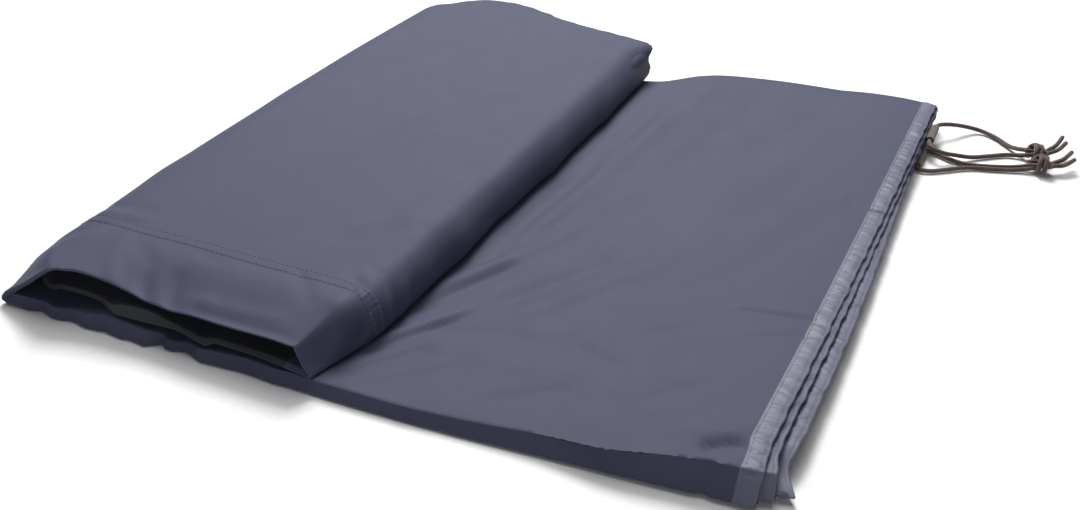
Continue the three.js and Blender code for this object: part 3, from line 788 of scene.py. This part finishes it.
def section(turn, rows):
    """The sheet's middle line across the strip, as y, height and the outward step past the hem."""
    bulge, nest = edge_bulge(turn), edge_nest(turn)
    front = edge_front(turn) + bulge
    in_roll = turn >= 1
    if not in_roll:
        front += wall_dent(roll_face(turn, -0.225)[0])
    crest = mix(CREST_OUT["narrow"], CREST_OUT["wide"], zone(bulge, "crest"))
    back = edge_back(turn) - PITCH
    x_here = roll_face(turn, -0.2)[0]
    bump = CREST_BUMP["out"] * math.exp(-((x_here - CREST_BUMP["x"]) / CREST_BUMP["width"]) ** 2)
    scallop = 0.0 if in_roll else 0.0005 * math.sin(turn * 640) * math.sin(turn * 97 + 0.6) + bump

    def ends(index):
        run = PLY_RUNS[index]
        reach = crest * run["crest"] * (bulge - nest * (run["fold"] or 0))
        if index < 2:
            reach += scallop * run["crest"]
        return front - reach, back - run["inset"] - ragged(index, turn)

    def height_of(index, y):
        if in_roll:
            return rolled_height(PLY_RUNS[index], turn, y)
        return ply_height(PLY_RUNS[index], roll_face(turn, y)[0], y)

    ys, heights, past = np.zeros((3, len(rows)))
    by_run, shares, parts = np.array(rows).T
    for index, run in enumerate(PLY_RUNS):
        chosen = (by_run == index) & (parts < 0)
        y = mix(*ends(index), shares[chosen])
        ys[chosen], heights[chosen], past[chosen] = y, height_of(index, y), hem_past(run, y)
        if index not in DENSE_FRONT:
            heights[chosen] = np.interp(shares[chosen], SPARSE,
                                        height_of(index, mix(*ends(index), SPARSE)))
        fold = (by_run == index) & (parts >= 0)
        if not fold.any():
            continue
        part, side = parts[fold], index % 2
        start, end = ends(index)[side], ends(index + 1)[side]
        low, high = height_of(index, start), height_of(index + 1, end)
        if side:
            rise = 0.5 - 0.5 * np.cos(part * math.pi)
            y = mix(start, end, part) + PITCH / 2 * np.sin(part * math.pi)
        else:
            climbs = PLY_RUNS[index + 1]["level"] > run["level"]
            place = part if climbs else 1 - part
            own = run["crest"] + PLY_RUNS[index + 1]["crest"]
            out = fold_out(place) + crest * own * fold_crest(place)
            y = front - (bulge - nest * (index / 2)) * out
            rise = fold_rise(place) if climbs else 1 - fold_rise(place)
        ys[fold], heights[fold] = y, mix(low, high, rise)
        past[fold] = mix(hem_past(run, y), hem_past(PLY_RUNS[index + 1], y), rise)
    return ys, heights, past


def turn_of(distance):
    """Turn at a distance from the hem's edge."""
    return distance / (HEM_END - side_left(0.0) - LEFT_TURN)


def roll_distance(turn):
    """Place along the roll's outer face, as x on its top and going on round both of its sides."""
    stretch = min(int(turn), 6)
    part = turn - stretch
    if stretch == 1:
        return TOP["left"] - (1 - part) * TOP["left_round"]
    if stretch == 2:
        return mix(TOP["left"], TOP["right"], part)
    return TOP["right"] + part * TOP["right_round"] if stretch == 3 else None


def placed(turn, ys, heights, past):
    """Where points of the section lie at one turn, with the creases of the roll's outer face."""
    low = max(turn - TURN_STEP, int(turn))
    high = min(turn + TURN_STEP, int(turn) + 0.9999, LAST_TURN)
    x, z = roll_face(turn, ys)
    x0, z0 = roll_face(low, ys)
    x1, z1 = roll_face(high, ys)
    along = unit(np.stack((x1 - x0, z1 - z0), axis=-1))
    px = x + along[:, 1] * heights + past * (1 - ease(turn, 0, HEM_REACH))
    pz = z - along[:, 0] * heights
    distance = roll_distance(turn)
    if distance is not None:
        share = np.clip(1 - heights / (STACK * thinning(turn, ys)), 0, 1)
        near_edge = ease(ys, edge_front(turn), edge_front(turn) + 0.003)
        relief = crease_height(PAD_CREASES, x if int(turn) == 2 else np.full_like(ys, distance), ys)
        between = 1 - 4 * (share - 0.5) ** 2 > 0.35
        front = fade(ys, "lip_relief")
        relief *= share * mix(0.5, 1.0, near_edge) * np.where(between, front, 1)
        px = px - along[:, 1] * relief
        pz = pz + along[:, 0] * relief
    return np.stack((px, ys, np.maximum(pz, 0)), axis=1)


def sheet_faces_at(turn, rows, thickness):
    """Both faces of the sheet at one turn, for a thickness at each point across."""
    ys, heights, past = section(turn, rows)
    dy, dh = np.gradient(ys), np.gradient(heights)
    size = np.maximum(np.hypot(dy, dh), 1e-9)
    dy, dh = dy / size, dh / size
    faces = []
    for sign in (1, -1):
        y = ys - sign * dh * thickness / 2
        height = heights + sign * dy * thickness / 2
        faces.append(placed(turn, y, height, past))
    return faces[0] - MIDDLE, faces[1] - MIDDLE


def section_run(rows, turn):
    ys, heights, _ = section(turn, rows)
    return run_along(np.stack((ys, heights), axis=1))


# The folded sheet

def sheet_turns():
    turns = [turn_of(distance) for distance in (0.0003, 0.003, 0.006, 0.009, 0.012, 0.016)]
    for row in STATIONS:
        turns += np.linspace(row["from"], row["to"], row["steps"], endpoint=False).tolist()
    return turns + [STATIONS[-1]["to"]]


def build_sheet():
    """The whole cloth. Its inner side keeps every other point where the ply's steps are fine."""
    rows = across_points(ply_shares, lambda index: 14 if index == 0 else 4, 3)
    turns = sheet_turns()
    across = len(rows)
    kept = [k for k in range(across) if k % 2 == 0 or k == across - 1 or rows[k][2] >= 0
            or PLY_RUNS[rows[k][0]]["steps"] < 40]
    grid = np.zeros((len(turns), across + len(kept), 3))
    for i, turn in enumerate(turns):
        left, right = sheet_faces_at(turn, rows, CLOTH)
        grid[i, :across], grid[i, across:] = left, right[kept]
    run = section_run(rows, turn=0.75)
    uvs = np.zeros((*grid.shape[:2], 2))
    uvs[..., 0] = run_along(grid[:, across // 12])[:, None]
    uvs[..., 1] = np.concatenate((run, run[kept]))[None, :]
    faces, slots = closed_faces(len(turns), across, kept), []
    for turn in turns[:-1]:
        # Faces at the mouth's turns take the second material, the painted shade of the roll's recess
        in_mouth = MOUTH_TURNS[0] < turn < MOUTH_TURNS[1]
        slots += [int(in_mouth)] * (across + len(kept) - 2) + [0, 0]
    slots += [0] * (len(faces) - len(slots))
    return new_object("groundsheet", grid, faces, [nylon_face, nylon_mouth_shade], uvs, slots, sharp=60)


sheet = build_sheet()


# Hem: the doubled edge along the whole hem end, with puckers between its two rows of stitches

def pucker_field(run, depth, seed):
    """Uneven puckers across the hem: short ridges that fade at both rows of stitches."""
    source = np.random.default_rng(seed)
    total = np.zeros(run.shape)
    middle = (HEM["row_in"] + HEM["row_out"]) / 2
    half = (HEM["row_in"] - HEM["row_out"]) / 2
    fade = np.clip(1 - (np.abs(depth - middle) / (half * PUCKER["fade"])) ** 3, 0, 1)
    place = 0.0
    while place < run.max():
        place += source.uniform(*PUCKER["apart"])
        slant, width, height = (source.uniform(*PUCKER[key]) for key in ("slant", "width", "height"))
        near = np.abs(run[:, 0] - place) < PUCKER["reach"]
        offset = run[near] + slant * (depth[near] - middle) - place
        total[near] += height * np.exp(-(offset / width) ** 2) * fade[near]
    return total


def build_hem():
    steps = int(HEM["across"] / HEM["step"])
    rows = across_points(
        lambda index: np.linspace(0, 1, steps if index in HEM["seen"] else HEM["inner_steps"]),
        lambda index: 22 if index == 0 else 12, 5)
    depths = column(HEM_PROFILE, "depth")
    run = section_run(rows, turn=0.0)
    puckers = pucker_field(*np.meshgrid(run, depths, indexing="ij"), seed=11)
    wave = 0.00035 * np.sin(run / 0.0131) * np.sin(run / 0.0047 + 1.0) + 0.0002 * np.sin(run / 0.0023)
    grid = np.zeros((len(depths), 2, len(rows), 3))
    for k, row in enumerate(HEM_PROFILE):
        thickness = HEM["thick"] * row["thick"] + 2 * puckers[:, k]
        grid[k] = sheet_faces_at(turn_of(row["depth"]), rows, thickness)
        grid[k, ..., 0] += wave * (1 - row["depth"] / HEM["width"])
    grid[..., 2] = np.maximum(grid[..., 2], 0.00002)
    uvs = np.zeros((*grid.shape[:3], 2))
    uvs[..., 0] = depths[:, None, None]
    uvs[..., 1] = run[None, None, :]
    faces = closed_faces(len(depths), len(rows))
    return new_object("hem", grid, faces, [nylon_hem], uvs, sharp=75), grid, rows


hem, hem_grid, hem_rows = build_hem()


def stitch_row(line, normals):
    """Stitches laid end to end along a line on the cloth."""
    run = run_along(line)
    shares = column(STITCH_ARC, "share")
    lift = column(STITCH_ARC, "lift")[:, None] * STITCH["thick"] / 2
    tubes = []
    place = STITCH["pitch"]
    while place + STITCH["long"] < run[-1]:
        at = place + shares * STITCH["long"]
        tubes.append((at_runs(at, run, line) + at_runs(at, run, normals) * lift, STITCH["thick"] / 2))
        place += STITCH["pitch"]
    return tubes


def hem_stitches():
    tubes = []
    for index in HEM["seen"]:
        chosen = np.array([row[0] == index and row[2] < 0 for row in hem_rows])
        for row_depth in (HEM["row_in"], HEM["row_out"]):
            k = nearest(HEM_PROFILE, "depth", row_depth)
            side = 0 if index % 2 == 1 else 1
            line = hem_grid[k, side][chosen]
            tubes += stitch_row(line, unit(line - hem_grid[k, 1 - side][chosen]))
    return tubes


# Felled seam: a raised band on the roll's outer face, with a row of stitches on each side

def build_seam():
    turns = np.linspace(SEAM["from"], SEAM["to"], SEAM["steps"])
    offsets = column(SEAM_PROFILE, "share") * SEAM["width"] / 2
    rises = column(SEAM_PROFILE, "rise") * SEAM["rise"]
    phases = np.random.default_rng(5).uniform(0, 6.28, 4)
    flat, wide = np.zeros(len(offsets)), len(offsets)
    top, normal = np.zeros((2, len(turns), wide, 3))
    for i, turn in enumerate(turns):
        distance = roll_distance(turn)
        share = (distance - SEAM["left"][0]) / (SEAM["right"][0] - SEAM["left"][0])
        middle = mix(SEAM["left"][1], SEAM["right"][1], np.clip(share, 0, 1))
        middle = middle - SEAM["sag"] * ease(turn, 3, 3.8)
        ys = middle + 0.0004 * math.sin(distance / 0.013 + phases[0]) + offsets
        base = placed(turn, ys, flat, flat)
        normal[i] = (placed(turn, ys, flat - 0.001, flat) - base) / 0.001
        pucker = 1 + 0.55 * (math.sin(distance / 0.00075 + phases[1])
                             * math.sin(distance / 0.0029 + phases[2]))
        top[i] = base + normal[i] * (rises * np.where(rises > 0, pucker, 1.0))[:, None]
    grid = np.stack((top, top - normal * SEAM["deep"]), axis=1) - MIDDLE
    uvs = np.zeros((*grid.shape[:3], 2))
    uvs[..., 0] = run_along(top[:, wide // 2])[:, None, None]
    uvs[..., 1] = offsets[None, None, :]
    faces = closed_faces(len(turns), wide, inward=True)
    tubes = []
    for row in (-SEAM["row"], SEAM["row"]):
        k = nearest(SEAM_PROFILE, "share", row * 2 / SEAM["width"])
        tubes += stitch_row(grid[:, 0, k], normal[:, k])
    return new_object("seam", grid, faces, [nylon_face], uvs, sharp=70), tubes


seam, seam_tubes = build_seam()
stitches = joined_tubes("stitches", hem_stitches() + seam_tubes, [thread], sides=5)


# Tabs: one loop of ribbon each, sewn on the edge of its ply

def build_tab(name, spec, legs):
    radius = BORE + RIBBON["thick"] / 2
    half = RIBBON["thick"] / 2
    stations = np.linspace(-0.5, 0.5, 23)
    angles = np.radians(np.linspace(112, -100, 22))
    backs = np.linspace(RIBBON["overlap"], -spec["leg_end"], 8)
    grid, uvs = [], []
    for station in stations:
        y = spec["y"] + station * RIBBON["width"]
        edge, centre, upper, lower = legs(y)
        line = [(edge - back, upper(edge - back)) for back in backs]
        line += [(edge + spec["loop_at"] + radius * math.cos(a), centre + radius * math.sin(a))
                 for a in angles]
        line += [(edge - back, lower(edge - back)) for back in backs[::-1]]
        line = np.array(line, float)
        way = unit(np.gradient(line, axis=0))
        swell = half * (1 - 0.35 * (abs(station) > 0.48))
        grid.append([[(p[0] - sign * w[1] * swell, y, p[1] + sign * w[0] * swell)
                      for p, w in zip(line, way)] for sign in (1, -1)])
        uvs.append([[(run, y) for run in run_along(line)]] * 2)
    grid = np.array(grid) - MIDDLE
    grid[..., 2] = np.maximum(grid[..., 2], 0.00003)
    return new_object(name, grid, closed_faces(len(stations), grid.shape[2]), [tab_ribbon], uvs, sharp=55)


def upper_legs(y):
    run = PLY_RUNS[5]
    gap = PLY / 2 + RIBBON["seat"] + RIBBON["thick"] / 2
    return (HEM_END + hem_past(run, y), ply_height(run, HEM_END, y),
            lambda x: ply_height(run, x, y) + gap, lambda x: ply_height(run, x, y) - gap)


def lower_legs(y):
    lowest = PLY + RIBBON["apart"] + RIBBON["thick"] / 2
    return (HEM_END + hem_past(PLY_RUNS[0], y), BORE + RIBBON["thick"],
            lambda x: lowest + RIBBON["thick"] + RIBBON["apart"], lambda x: lowest)


tab_upper = build_tab("tab_upper_ribbon", TABS["upper"], upper_legs)
tab_lower = build_tab("tab_lower_ribbon", TABS["lower"], lower_legs)


# Cord strands, knots and free tails

def build_cord(name, points, count, tail=False):
    """A cord along its route, with one end carried on into its knot."""
    fine = smooth_route(np.array(points) / 1000 - MIDDLE, count)
    if tail:
        fine = np.vstack((fine[0] + unit(fine[0] - fine[1]) * 0.004, fine))
    else:
        fine = np.vstack((fine, fine[-1] + unit(fine[-1] - fine[-2]) * 0.003))
    vertices, faces, uvs = tube_parts(fine, CORD / 2, CORD_SIDES, taper=0.86 if tail else 1.0)
    slots = [0] * (len(faces) - 2) + [1, 1]
    return new_object(name + "_braid", vertices, faces, [cord_braid, cord_core], uvs, slots)


def knot_tubes(spec):
    """The knot's turns: a strand that winds round the others and crosses over itself."""
    first, last = WINDING["from"] * math.pi, WINDING["to"] * math.pi
    winding = []
    for angle in np.linspace(first, last, WINDING["steps"]):
        share = (angle - first) / (last - first)
        swell = 1 - WINDING["narrower"] * ease(abs(share - 0.5), 0.42, 0.5)
        winding.append((mix(WINDING["start"], WINDING["end"], share) + WINDING["lean"] * math.sin(angle),
                        WINDING["half_width"] * swell * math.cos(angle),
                        WINDING["half_height"] * swell * math.sin(angle)))
    cos, sin = math.cos(math.radians(spec["turn"])), math.sin(math.radians(spec["turn"]))
    axes = np.array(((cos, sin, 0), (-sin, cos, 0), (0, 0, 1)))
    paths = [(winding, WINDING["points"])]
    paths += [(np.array(path["places"]) / 1000, path["points"]) for path in CROSSINGS]
    middle = np.array(spec["at"]) - MIDDLE
    return [(smooth_route(middle + places @ axes, count), KNOT_CORD / 2) for places, count in paths]


strands = {name: build_cord(name, points, 3 * CORD_POINTS) for name, points in ROUTES.items()}
tails = {name: build_cord(name, points, TAIL_POINTS, tail=True) for name, points in TAILS.items()}
knots = {name: joined_tubes(name + "_turns", knot_tubes(spec), [cord_braid], sides=CORD_SIDES)
         for name, spec in KNOTS.items()}


# What each piece rides on and which solid it replaces

worn = [(piece, "groundsheet_cloth", "coated_nylon") for piece in (sheet, hem, seam, stitches)]
worn += [(tab_upper, "tab_upper", "ribbon"), (tab_lower, "tab_lower", "ribbon")]
worn += [(piece, name, "elastic_cord") for name, piece in {**strands, **tails, **knots}.items()]
for piece, node, slot in worn:
    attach(piece, "root")
    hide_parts(node)

for which in ("upper", "lower"):
    for side in ("far", "near"):
        name = f"cord_{which}_{side}"
        path = [tuple(p) for p in smooth_route(np.array(ROUTES[name]) / 1000 - MIDDLE, CORD_POINTS)]

# Floor, light and camera

FLOOR = 6.0
floor_mesh = bpy.data.meshes.new("floor")
floor_mesh.from_pydata([(x * FLOOR, y * FLOOR, 0) for x, y in ((-1, -1), (1, -1), (1, 1), (-1, 1))],
                       [], [(0, 1, 2, 3)])
floor_mesh.materials.append(floor_white)
floor = in_scene("floor", floor_mesh)
floor.location.z = -0.0002

LIGHTS = table(
    "name turn rise away wide watts",
    ("key", 25, 50, 2.4, 0.9, 80), ("above", 26, 78, 2.4, 1.6, 27), ("fill", -155, 14, 2.6, 1.8, 12))


def add_light(name, turn, rise, away, wide, watts):
    """A square lamp that faces the part's middle."""
    lamp = bpy.data.lights.new(name, "AREA")
    lamp.shape = "SQUARE"
    lamp.size = wide
    lamp.energy = watts
    lamp.color = (1.0, 0.99, 0.98)
    turn, rise = math.radians(turn), math.radians(rise)
    place = away * Vector((-math.sin(turn) * math.cos(rise), math.cos(turn) * math.cos(rise),
                           math.sin(rise)))
    obj = in_scene(name, lamp)
    obj.location = place
    obj.rotation_euler = (-place).to_track_quat("-Z", "Y").to_euler()


for light in LIGHTS:
    add_light(**light)

world = bpy.data.worlds.new("studio")
world.use_nodes = True
sky = world.node_tree.nodes["Background"].inputs
sky["Color"].default_value = (0.94, 0.96, 1.0, 1)
sky["Strength"].default_value = 0.135
bpy.context.scene.world = world
bpy.context.scene.view_settings.view_transform = "Standard"

camera_data = bpy.data.cameras.new("camera")
camera_data.sensor_width = 36
camera_data.lens = CAMERA_LENS
camera = in_scene("camera", camera_data)
camera.location = CAMERA_PLACE
camera.rotation_euler = (math.radians(CAMERA_TILT), 0, math.radians(CAMERA_TURN))
bpy.context.scene.camera = camera
